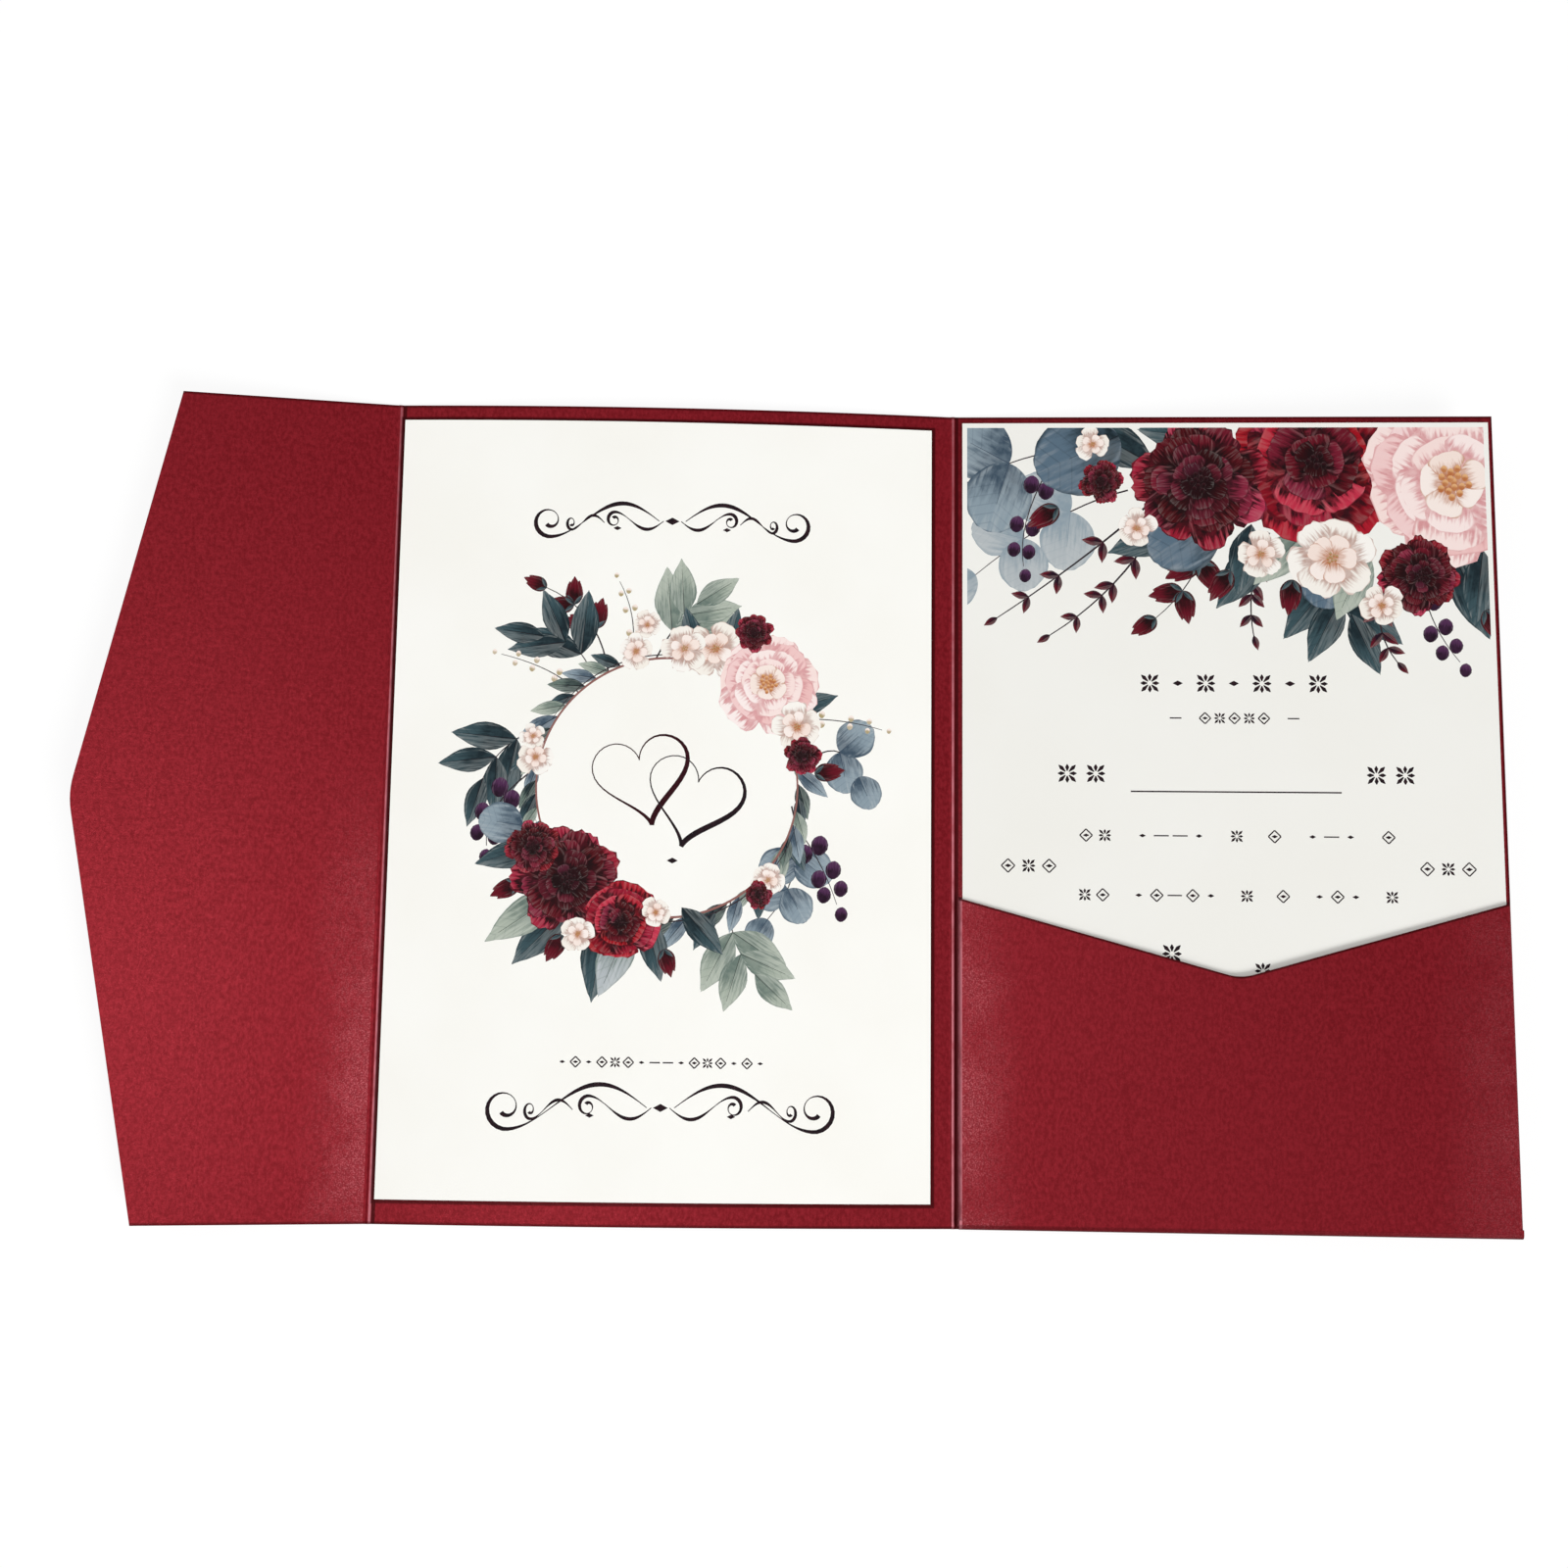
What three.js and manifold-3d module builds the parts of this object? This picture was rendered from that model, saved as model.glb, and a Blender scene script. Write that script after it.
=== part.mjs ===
// Pocket fold invitation, lying open: one scored and folded sheet of pearl card with a pointed
// closing flap, an arched centre panel and a pocket panel, a card stuck on the centre panel by
// four adhesive strips, and a second card standing loose in the pocket.
// Millimetres. The model is drawn in the pocket panel's own frame: X across the panel from the
// gutter crease, Y up the page from the bottom edge, Z out of the printed side. The last group
// turns that frame so that the two creases lie level on the table.
import * as THREE from "three";
import { mergeVertices } from "three/addons/utils/BufferGeometryUtils.js";
import Module from "manifold-3d";

// Folded sheet
const sheetThickness = 0.4;
const sheetHeight = 185;
const centreWidth = 128;
const pocketPanelWidth = 123.6;
const archRise = 2.4;
const pocketPanelAngle = THREE.MathUtils.degToRad(4.1);

// Closing flap
const flapAngle = THREE.MathUtils.degToRad(8);
const flapTopReach = 48.3;
const flapBottomReach = 49.8;
const flapTipReach = 67.7;
const flapTipRadius = 4;
const flapTipUp = 92.6;

// Scored crease: the bead that the scoring rule raises on the inner side
const creaseBeadHeight = 0.28;
const creaseBeadWidth = 1.5;

// Pocket
const pocketGutterInset = 1.3;
const pocketEdgeInset = 0.4;
const pocketSideHeight = 72.8;
const pocketVeeHeight = 55.6;
const pocketVeeAcross = 62.2;
const pocketVeeEase = 3;
const pocketDepth = 1.4;
const pocketBow = 0.5;
const glueTabWidth = 11;
const glueTabTaper = 5;
const glueBond = 0.05;

// Card on the centre panel
const mainCardThickness = 0.45;
const mainCardLeftMargin = 1.3;
const mainCardRightMargin = 5.1;
const mainCardBottomMargin = 5.4;
const mainCardTopMargin = 3.7;

// Adhesive strips under it
const stripThickness = 0.2;
const stripWidth = 8;
const stripInset = 6;
const stripClearance = 0.05;

// Card in the pocket
const insertThickness = 0.35;
const insertSideClearance = 0.45;
const insertTopMargin = 1.8;
const insertClearance = 0.3;

// Fineness of the round stretches
const archSteps = 32;
const beadSteps = 8;
const foldSteps = 10;
const bowColumns = 16;
const bowRows = 6;
const curveSegments = 6;
// Points are held to a thousandth of a millimetre, so that faces meant to be level are level
const pointsPerMillimetre = 1000;
// Joins of coplanar faces leave slivers finer than this, which are closed up
const finestDetail = 0.004;
// How far a cutter runs past what it cuts, and a fold's straight stretch into the leaf it joins
const cutReach = 10;
const joinReach = 1;

// Heights over the middle of the panel's thickness, and places across the panel
const halfSheet = sheetThickness / 2;
const tabCentre = sheetThickness;
const tabTopside = tabCentre + halfSheet;
const frontUnderside = halfSheet + pocketDepth;
const frontTopside = frontUnderside + sheetThickness;
const frontCentre = frontTopside - halfSheet;
const underFront = (tabTopside + frontUnderside) / 2;
const bottomFoldRadius = frontCentre / 2;
const bottomFoldReach = bottomFoldRadius + halfSheet;
const sideFoldRadius = (frontCentre - tabCentre) / 2;
const sideFoldReach = sideFoldRadius + halfSheet;
const pocketLeft = pocketGutterInset;
const pocketRight = pocketPanelWidth - pocketEdgeInset;
const pocketWidth = pocketRight - pocketLeft;

const wasm = await Module();
wasm.setup();

function solidOf(geometry) {
  const bare = geometry.clone();
  bare.deleteAttribute("normal");
  bare.deleteAttribute("uv");
  const position = bare.attributes.position;
  position.array.forEach((value, i) => {
    position.array[i] = Math.round(value * pointsPerMillimetre) / pointsPerMillimetre;
  });
  const merged = mergeVertices(bare, 1e-5);
  return new wasm.Manifold(new wasm.Mesh({
    numProp: 3,
    vertProperties: new Float32Array(merged.attributes.position.array),
    triVerts: new Uint32Array(merged.index.array),
  }));
}

function geometryOf(solid) {
  const mesh = solid.simplify(finestDetail).getMesh();
  const geometry = new THREE.BufferGeometry();
  geometry.setAttribute("position", new THREE.BufferAttribute(mesh.vertProperties, 3));
  geometry.setIndex(new THREE.BufferAttribute(mesh.triVerts, 1));
  return geometry;
}

function shapeOf(points) {
  return new THREE.Shape(points.map(([x, y]) => new THREE.Vector2(x, y)));
}

// A section in X and Z, run along Y from bottom to top
function runUp(section, bottom, top) {
  const geometry = new THREE.ExtrudeGeometry(shapeOf(section), { depth: top - bottom, bevelEnabled: false });
  geometry.rotateX(Math.PI / 2);
  geometry.translate(0, top, 0);
  return geometry;
}

// An outline in X and Y, run along Z from low to high
function runOut(outline, low, high) {
  const geometry = new THREE.ExtrudeGeometry(shapeOf(outline), { depth: high - low, bevelEnabled: false });
  geometry.translate(0, 0, low);
  return geometry;
}

// A section in Y and Z, run along X from left to right
function runAcross(section, left, right) {
  const geometry = new THREE.ExtrudeGeometry(shapeOf(section), { depth: right - left, bevelEnabled: false });
  geometry.rotateY(Math.PI / 2);
  geometry.rotateX(Math.PI / 2);
  geometry.translate(left, 0, 0);
  return geometry;
}

// The closed section of a sheet that follows a centre line
function sheetSection(line, thickness) {
  const above = [];
  const below = [];
  line.forEach(([x, z], i) => {
    const [beforeX, beforeZ] = line[Math.max(i - 1, 0)];
    const [afterX, afterZ] = line[Math.min(i + 1, line.length - 1)];
    const length = Math.hypot(afterX - beforeX, afterZ - beforeZ);
    const acrossX = -(afterZ - beforeZ) / length;
    const acrossZ = (afterX - beforeX) / length;
    above.push([x + acrossX * thickness / 2, z + acrossZ * thickness / 2]);
    below.push([x - acrossX * thickness / 2, z - acrossZ * thickness / 2]);
  });
  return [...below, ...above.reverse()];
}

// From the level frame, where both creases lie at Z 0, to the pocket panel's frame
function toPanelFrame([x, z]) {
  const cos = Math.cos(pocketPanelAngle);
  const sin = Math.sin(pocketPanelAngle);
  return [x * cos + z * sin, -x * sin + z * cos];
}

function archHeight(x) {
  const share = -x / centreWidth;
  return 4 * archRise * share * (1 - share);
}

function bead(distance) {
  const share = Math.min(Math.abs(distance) / (creaseBeadWidth / 2), 1);
  return creaseBeadHeight * (1 + Math.cos(Math.PI * share)) / 2;
}

function levelHeight(x) {
  const beads = bead(x) + bead(x + centreWidth);
  if (x > 0) return x * Math.tan(pocketPanelAngle) + beads;
  if (x < -centreWidth) return (-centreWidth - x) * Math.tan(flapAngle) + beads;
  return archHeight(x) + beads;
}

// Evenly spaced places from one X to another, both ends included
function places(from, to, steps) {
  return Array.from({ length: steps + 1 }, (_, i) => from + (to - from) * i / steps);
}

function sheetLine() {
  const half = creaseBeadWidth / 2;
  const across = [
    -centreWidth - (flapTipReach + cutReach) * Math.cos(flapAngle),
    ...places(-centreWidth - half, -centreWidth + half, beadSteps),
    ...places(-centreWidth + half, -half, archSteps).slice(1, -1),
    ...places(-half, half, beadSteps),
    pocketPanelWidth * Math.cos(pocketPanelAngle),
  ];
  return across.map((x) => toPanelFrame([x, levelHeight(x)]));
}

// What is cut away around the pointed flap, drawn in the flap's own plane with the crease at X 0
// and the tip towards -X
function flapWaste() {
  const upper = new THREE.Vector2(-flapTopReach, sheetHeight);
  const tip = new THREE.Vector2(-flapTipReach, flapTipUp);
  const lower = new THREE.Vector2(-flapBottomReach, 0);
  const alongEdge = (corner, from, distance) => corner.clone().sub(tip).setLength(distance).add(from);
  const roundUpper = alongEdge(upper, tip, flapTipRadius);
  const roundLower = alongEdge(lower, tip, flapTipRadius);
  const pastUpper = alongEdge(upper, upper, cutReach);
  const pastLower = alongEdge(lower, lower, cutReach);
  const far = -flapTipReach - 2 * cutReach;
  const shape = new THREE.Shape();
  shape.moveTo(pastUpper.x, pastUpper.y);
  shape.lineTo(roundUpper.x, roundUpper.y);
  shape.quadraticCurveTo(tip.x, tip.y, roundLower.x, roundLower.y);
  shape.lineTo(pastLower.x, pastLower.y);
  shape.lineTo(far, pastLower.y);
  shape.lineTo(far, pastUpper.y);
  const depth = 2 * cutReach;
  const geometry = new THREE.ExtrudeGeometry(shape, { depth, bevelEnabled: false, curveSegments });
  geometry.translate(0, 0, -depth / 2);
  geometry.rotateY(flapAngle + pocketPanelAngle);
  const [creaseX, creaseZ] = toPanelFrame([-centreWidth, 0]);
  geometry.translate(creaseX, 0, creaseZ);
  return geometry;
}

// Centre line of a round fold: half a turn from the leaf below to the pocket front, with a
// straight stretch into both leaves. Its outermost line is half a sheet inside X 0.
function foldLine(radius, centreHeight, lowerStretch) {
  const middle = radius + halfSheet;
  const turn = places(-Math.PI / 2, Math.PI / 2, foldSteps);
  const round = turn.map((a) => [middle - radius * Math.cos(a), centreHeight + radius * Math.sin(a)]);
  const lower = [middle + lowerStretch, centreHeight - radius];
  const upper = [middle + joinReach, centreHeight + radius];
  return [lower, ...round, upper];
}

// The left side's fold, with its glue tab turned under. The tab's ends are cut on a slant.
function sideFold() {
  const line = foldLine(sideFoldRadius, tabCentre + sideFoldRadius, glueTabWidth - sideFoldReach);
  const fold = solidOf(runUp(sheetSection(line, sheetThickness), bottomFoldReach, pocketSideHeight));
  const pastTab = glueTabWidth + cutReach;
  const taper = glueTabTaper * (pastTab - sideFoldReach) / (glueTabWidth - sideFoldReach);
  const upperEnd = [
    [sideFoldReach, pocketSideHeight],
    [pastTab, pocketSideHeight - taper],
    [pastTab, pocketSideHeight + cutReach],
    [sideFoldReach, pocketSideHeight + cutReach],
  ];
  const lowerEnd = [
    [sideFoldReach, bottomFoldReach],
    [sideFoldReach, bottomFoldReach - cutReach],
    [pastTab, bottomFoldReach - cutReach],
    [pastTab, bottomFoldReach + taper],
  ];
  return fold
    .subtract(solidOf(runOut(upperEnd, -cutReach, underFront)))
    .subtract(solidOf(runOut(lowerEnd, -cutReach, underFront)));
}

// The pocket front is flat along its folds and bows up between them towards the mouth
function pocketFront() {
  const left = pocketLeft + sideFoldReach;
  const width = pocketRight - sideFoldReach - left;
  const height = pocketSideHeight - bottomFoldReach;
  const plate = new THREE.BoxGeometry(width, height, sheetThickness, bowColumns, bowRows, 1);
  plate.translate(left + width / 2, bottomFoldReach + height / 2, frontCentre);
  const position = plate.attributes.position;
  for (let i = 0; i < position.count; i += 1) {
    const across = (position.getX(i) - left) / width;
    const up = Math.max((position.getY(i) - bottomFoldReach) / height, 0);
    const lift = pocketBow * Math.sin(Math.PI * across) ** 2 * up ** 1.5;
    position.setZ(i, position.getZ(i) + lift);
  }
  return solidOf(plate);
}

// What the mouth's V takes out of the pocket front and its side folds
function pocketVee() {
  const drop = pocketSideHeight - pocketVeeHeight;
  const leftSlope = drop / pocketVeeAcross;
  const rightSlope = drop / (pocketWidth - pocketVeeAcross);
  const middle = pocketLeft + pocketVeeAcross;
  const left = pocketLeft - cutReach;
  const right = pocketRight + cutReach;
  const easeRight = pocketVeeHeight + rightSlope * pocketVeeEase;
  const shape = new THREE.Shape();
  shape.moveTo(left, pocketSideHeight + leftSlope * cutReach);
  shape.lineTo(middle - pocketVeeEase, pocketVeeHeight + leftSlope * pocketVeeEase);
  shape.quadraticCurveTo(middle, pocketVeeHeight, middle + pocketVeeEase, easeRight);
  shape.lineTo(right, pocketSideHeight + rightSlope * cutReach);
  shape.lineTo(right, pocketSideHeight + 2 * cutReach);
  shape.lineTo(left, pocketSideHeight + 2 * cutReach);
  const geometry = new THREE.ExtrudeGeometry(shape, { depth: cutReach, bevelEnabled: false, curveSegments });
  geometry.translate(0, 0, underFront);
  return solidOf(geometry);
}

function folderGeometry() {
  const base = solidOf(runUp(sheetSection(sheetLine(), sheetThickness), 0, sheetHeight));
  const pastPanel = pocketPanelWidth + cutReach;
  const foldStrip = [
    [pocketLeft, -cutReach],
    [pastPanel, -cutReach],
    [pastPanel, bottomFoldReach],
    [pocketLeft, bottomFoldReach],
  ];
  const trimmed = base
    .subtract(solidOf(flapWaste()))
    .subtract(solidOf(runOut(foldStrip, -cutReach, cutReach)));
  const foldSection = sheetSection(foldLine(bottomFoldRadius, bottomFoldRadius, joinReach), sheetThickness);
  const bottomFold = solidOf(runAcross(foldSection, pocketLeft, pocketRight));
  const leftFold = sideFold().translate([pocketLeft, 0, -glueBond]);
  const rightFold = sideFold().mirror([1, 0, 0]).translate([pocketRight, 0, -glueBond]);
  const pocket = pocketFront().add(bottomFold).add(leftFold).add(rightFold).subtract(pocketVee());
  return geometryOf(trimmed.add(pocket));
}

// A leaf that follows the centre panel's arch, between two X places and two heights on the page
function archedLeaf(left, right, bottom, top, lift, thickness) {
  const steps = Math.max(Math.round(archSteps * (right - left) / centreWidth), 1);
  const line = places(left, right, steps).map((x) => toPanelFrame([x, archHeight(x) + lift]));
  return runUp(sheetSection(line, thickness), bottom, top);
}

const mainCard = {
  left: -centreWidth + mainCardLeftMargin,
  right: -mainCardRightMargin,
  bottom: mainCardBottomMargin,
  top: sheetHeight - mainCardTopMargin,
};
const stripLift = halfSheet + stripClearance + stripThickness / 2;
const mainCardLift = stripLift + stripThickness / 2 + stripClearance + mainCardThickness / 2;

function mainCardGeometry() {
  const { left, right, bottom, top } = mainCard;
  return archedLeaf(left, right, bottom, top, mainCardLift, mainCardThickness);
}

// The four strips make a frame a little way in from the card's edges
function stripGeometries() {
  const left = mainCard.left + stripInset;
  const right = mainCard.right - stripInset;
  const bottom = mainCard.bottom + stripInset;
  const top = mainCard.top - stripInset;
  const apart = stripWidth + stripInset;
  const strip = (...edges) => archedLeaf(...edges, stripLift, stripThickness);
  return {
    adhesive_strip_left: strip(left, left + stripWidth, bottom, top),
    adhesive_strip_right: strip(right - stripWidth, right, bottom, top),
    adhesive_strip_bottom: strip(left + apart, right - apart, bottom, bottom + stripWidth),
    adhesive_strip_top: strip(left + apart, right - apart, top - stripWidth, top),
  };
}

function insertGeometry() {
  const inside = sheetThickness + insertSideClearance;
  const left = pocketLeft + inside;
  const right = pocketRight - inside;
  const bottom = sheetThickness + insertClearance;
  const top = sheetHeight - insertTopMargin;
  const rest = tabTopside + insertClearance;
  const outline = [[left, bottom], [right, bottom], [right, top], [left, top]];
  return runOut(outline, rest, rest + insertThickness);
}

const pearlCard = new THREE.MeshStandardMaterial({ color: 0x842231, roughness: 0.5, metalness: 0.1 });
const creamCard = new THREE.MeshStandardMaterial({ color: 0xfbfaf4, roughness: 0.8, metalness: 0 });
const whiteCard = new THREE.MeshStandardMaterial({ color: 0xf4f2ec, roughness: 0.8, metalness: 0 });
const adhesive = new THREE.MeshStandardMaterial({ color: 0xe9e4d6, roughness: 0.6, metalness: 0 });

function named(name, geometry, material) {
  const mesh = new THREE.Mesh(geometry, material);
  mesh.name = name;
  return mesh;
}

const panelFrame = new THREE.Group();
panelFrame.add(named("folder", folderGeometry(), pearlCard));
panelFrame.add(named("main_card", mainCardGeometry(), creamCard));
Object.entries(stripGeometries()).forEach(([name, geometry]) => {
  panelFrame.add(named(name, geometry, adhesive.clone()));
});
panelFrame.add(named("insert_card", insertGeometry(), whiteCard));

// Turned so that both creases lie level, then stood with the middle of its footprint at the
// origin and its lowest point on Z 0
panelFrame.rotation.y = -pocketPanelAngle;
const invitation = new THREE.Group();
invitation.add(panelFrame);
const box = new THREE.Box3().setFromObject(invitation, true);
panelFrame.position.set(
  -(box.min.x + box.max.x) / 2,
  -(box.min.y + box.max.y) / 2,
  -box.min.z,
);

export default invitation;
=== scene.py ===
"""Pocket fold invitation: the pearl finish of the folded sheet, the two printed cards, the strips of
tape, and a plain studio round them. Card artwork is drawn on a page in millimetres, from the card's
bottom left corner, and its coloured fields become faces of the card itself."""
import math
import random

import bpy
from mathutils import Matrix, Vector
from mathutils.geometry import convex_hull_2d, delaunay_2d_cdt


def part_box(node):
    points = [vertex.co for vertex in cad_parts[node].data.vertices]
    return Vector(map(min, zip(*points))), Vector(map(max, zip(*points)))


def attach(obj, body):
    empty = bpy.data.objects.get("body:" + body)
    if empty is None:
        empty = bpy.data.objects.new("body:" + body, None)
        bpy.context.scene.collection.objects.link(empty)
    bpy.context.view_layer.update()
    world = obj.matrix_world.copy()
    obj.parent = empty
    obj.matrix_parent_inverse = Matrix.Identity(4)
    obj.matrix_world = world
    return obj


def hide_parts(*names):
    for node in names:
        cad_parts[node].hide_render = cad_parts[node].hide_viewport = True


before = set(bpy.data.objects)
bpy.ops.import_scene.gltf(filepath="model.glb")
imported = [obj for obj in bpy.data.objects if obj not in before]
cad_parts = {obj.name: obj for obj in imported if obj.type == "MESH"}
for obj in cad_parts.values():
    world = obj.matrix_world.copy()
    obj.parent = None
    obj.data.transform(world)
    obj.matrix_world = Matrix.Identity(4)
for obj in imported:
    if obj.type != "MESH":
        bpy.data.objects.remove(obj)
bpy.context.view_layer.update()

MM = 0.001
WHITE = (1.0, 1.0, 1.0, 1.0)

# The folded sheet and its cards, in millimetres, as the solids have them
PANEL_ANGLE = math.radians(4.1)
CENTRE_WIDTH = 128.0
ARCH_RISE = 2.4
GUTTER_X = 35.69
LEFT_CREASE_X = GUTTER_X - CENTRE_WIDTH
POCKET_LEFT_X = GUTTER_X + 1.2
HALF_HEIGHT = 92.5
RIGHT_EDGE_X = 158.99
MAIN_CARD_THICKNESS = 0.45
INSERT_THICKNESS = 0.35

# The V of the pocket's mouth: its sharp lowest point, how round it is there, the mean slope of its
# sides, and what the right side's slope has over the mean
MOUTH_X = 98.88
MOUTH_Y = -36.9
MOUTH_EASE = 1.5
MOUTH_SLOPE = 0.28305
MOUTH_LEAN = 0.0058

# How far apart the bend lines of a printed card are, and when two of its points are one
BEND_EVERY = 3.0
MERGE_WITHIN = 1e-5
ON_EDGE = 1e-4

# Colours of the card stock, as linear values
CREAM = (0.955, 0.948, 0.905, 1)
CREAM_SHADE = (0.93, 0.918, 0.865, 1)
PLAIN_WHITE = (0.885, 0.878, 0.835, 1)
PLAIN_WHITE_SHADE = (0.87, 0.86, 0.81, 1)
PEARL_DARK = (0.162, 0.0052, 0.0096, 1)
PEARL_LIGHT = (0.250, 0.0122, 0.0202, 1)
PEARL_CLOUD = (0.226, 0.011, 0.0195, 1)
PEARL_FLAKE = (0.48, 0.070, 0.100, 1)
# Pale pink of a painted sheen
PEARL_PAINTED_SHEEN = (0.47, 0.115, 0.135, 1)
# Pale pink of the worn score lines, also used for a painted highlight
PEARL_WEAR_AND_HIGHLIGHT = (0.62, 0.22, 0.26, 1)
# Near-black of painted shade
PEARL_PAINTED_SHADE = (0.045, 0.0010, 0.0020, 1)
TAPE_DULL = (0.80, 0.76, 0.64, 1)
TAPE_CLEAR = (0.86, 0.83, 0.73, 1)

# Colours of the print, as linear values
WINE_BLACK = (0.010, 0.001, 0.002)
WINE_DEEP = (0.024, 0.001, 0.004)
WINE_SHADE = (0.060, 0.002, 0.007)
WINE = (0.120, 0.003, 0.012)
CRIMSON = (0.290, 0.006, 0.024)
SCARLET = (0.420, 0.010, 0.028)
BLUSH_DEEP = (0.66, 0.30, 0.31)
BLUSH = (0.86, 0.58, 0.57)
BLUSH_PALE = (0.93, 0.77, 0.74)
SHELL_DEEP = (0.50, 0.33, 0.28)
SHELL = (0.92, 0.80, 0.74)
PETAL_WHITE = (0.92, 0.88, 0.82)
AMBER = (0.46, 0.15, 0.05)
HONEY = (0.72, 0.40, 0.18)
TEAL_DARK = (0.008, 0.018, 0.024)
TEAL = (0.040, 0.078, 0.092)
SLATE_DARK = (0.045, 0.075, 0.110)
SLATE = (0.095, 0.150, 0.205)
SLATE_PALE = (0.25, 0.32, 0.37)
MIST = (0.44, 0.48, 0.50)
SAGE = (0.130, 0.180, 0.155)
SAGE_PALE = (0.40, 0.45, 0.38)
PLUM_DARK = (0.014, 0.003, 0.012)
PLUM = (0.075, 0.022, 0.075)
OLIVE = (0.40, 0.32, 0.16)
STEM = (0.030, 0.024, 0.028)
ROSE_GOLD = (0.27, 0.12, 0.105)
INK = (0.010, 0.005, 0.008)

# Outline forms: where a shape is widest and how blunt its ends are, then how strong its veins are
PETAL_FORM = (1.45, 0.50, 0.0)
CUPPED_FORM = (1.9, 0.42, 0.0)
POINTED_FORM = (0.85, 1.05, 1.0)
ROUND_FORM = (1.0, 0.52, 0.8)
BERRY_FORM = (1.0, 0.5, 0.0)
BUD_FORM = (0.72, 0.85, 0.0)


class Page:
    """The fields of colour on one card, in the order in which they are printed."""

    def __init__(self, width, height, border, seed):
        self.width = width
        self.height = height
        self.border = border
        self.dice = random.Random(seed)
        self.fields = []
        self.ruffle = 0.02
        self.variety = 0.0

    def around(self, value, share):
        return value * (1 + self.dice.uniform(-share, share))

    def shape(self, x, y, angle, length, width, form, deep, tint, steps=9, fade=0.18):
        """A petal, leaf or berry that starts at x, y and points along angle, in degrees. Its colour
        turns from deep to tint beyond the share of its length that fade gives."""
        widest, blunt, _ = form
        along = Vector((math.cos(math.radians(angle)), math.sin(math.radians(angle))))
        across = Vector((-along.y, along.x))
        start = Vector((x, y))
        sway = self.dice.uniform(0.8, 1.2)
        depth = 1 + self.dice.uniform(-self.variety, self.variety)
        tint = tuple(t**depth for t in tint)
        left, right = [], []
        for i in range(1, steps):
            share = (1 - math.cos(math.pi * i / steps)) / 2
            half = width / 2 * math.sin(math.pi * share**widest) ** blunt
            ripple = self.ruffle * math.sin(share * 13 * sway + angle)
            reach = along * length * share * (1 + 0.5 * self.ruffle * math.sin(i * 2.1 + angle) * share)
            left.append(start + reach + across * half * (1 + ripple))
            right.append(start + reach - across * half * (1 - ripple))
        outline = [start] + right + [start + along * length] + left[::-1]
        self.fields.append({
            "outline": outline, "start": start, "along": along / length, "across": across * 2 / width,
            "form": form, "deep": deep, "tint": tint, "batch": self.dice.random() * 10, "fade": fade,
            "ink": False,
        })

    def stroke(self, points, widths, colour):
        """A pen stroke as a chain of four-cornered fields, so that it may cross itself."""
        points = [Vector(p) for p in points]
        sides = []
        for i, point in enumerate(points):
            towards = points[min(i + 1, len(points) - 1)] - points[max(i - 1, 0)]
            across = Vector((-towards.y, towards.x)).normalized() * widths[i] / 2
            sides.append((point + across, point - across))
        for near, far in zip(sides, sides[1:]):
            corners = [*near, *far]
            outline = [corners[i] for i in convex_hull_2d(corners)]
            self.fields.append({
                "outline": outline, "start": near[0], "along": Vector((1, 0)), "across": Vector((0, 1)),
                "form": BERRY_FORM, "deep": colour, "tint": colour, "batch": 0.0, "fade": 0.0, "ink": True,
            })


def curve_points(start, bend, end):
    steps = 10
    start, bend, end = Vector(start), Vector(bend), Vector(end)
    shares = [i / steps for i in range(steps + 1)]
    return [start * (1 - s) ** 2 + bend * 2 * s * (1 - s) + end * s * s for s in shares]


def turned(x, y, angle, distance):
    return x + math.cos(math.radians(angle)) * distance, y + math.sin(math.radians(angle)) * distance


def stem(page, start, bend, end, width):
    points = curve_points(start, bend, end)
    page.stroke(points, [width * (1 - 0.6 * i / len(points)) for i in range(len(points))], STEM)
    return points


def leaf(page, x, y, angle, length, width, deep=TEAL_DARK, tint=TEAL):
    page.shape(x, y, angle, length, width, POINTED_FORM, deep, tint, 14, 0.34)
    far = turned(x, y, angle, length * 0.82)
    page.stroke([(x, y), far], [0.22, 0.08], tuple(0.5 * d for d in deep))


def round_leaf(page, x, y, angle, size, deep=SLATE_DARK, tint=SLATE_PALE):
    page.shape(x, y, angle, size, size * 0.92, ROUND_FORM, deep, tint, 22)
    page.stroke([(x, y), turned(x, y, angle, size * 0.6)], [0.24, 0.08], deep)


def berry(page, x, y, size, deep=PLUM_DARK, tint=PLUM):
    page.shape(*turned(x, y, 80, -size / 2), 80, size, size * 0.85, BERRY_FORM, deep, tint, 7, 0.4)


def bud(page, x, y, angle, length, deep=WINE_BLACK, tint=WINE):
    for lean, long in ((-11, 0.86), (12, 0.84), (0, 1.0)):
        page.shape(x, y, angle + lean, length * long, length * 0.46, BUD_FORM, deep, tint, 12, 0.3)
    for lean in (-38, 36):
        page.shape(x, y, angle + lean, length * 0.42, length * 0.13, POINTED_FORM, TEAL_DARK, TEAL, 6)


def sprig(page, start, bend, end, pairs, make, lean=42, width=0.4):
    """A stem with something on each side of it and at its end; make draws one of them."""
    points = stem(page, start, bend, end, width)
    places = [len(points) - 1 - round(i * (len(points) - 2) / pairs) for i in range(pairs)]
    for order, at in enumerate(reversed(places)):
        here, before = points[at], points[at - 1]
        heading = math.degrees(math.atan2(here.y - before.y, here.x - before.x))
        size = 1.0 - 0.35 * order / max(pairs, 1)
        for side in ((0,) if order == pairs - 1 else (-lean, lean)):
            make(here.x, here.y, heading + side + page.dice.uniform(-8, 8), size)


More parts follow.
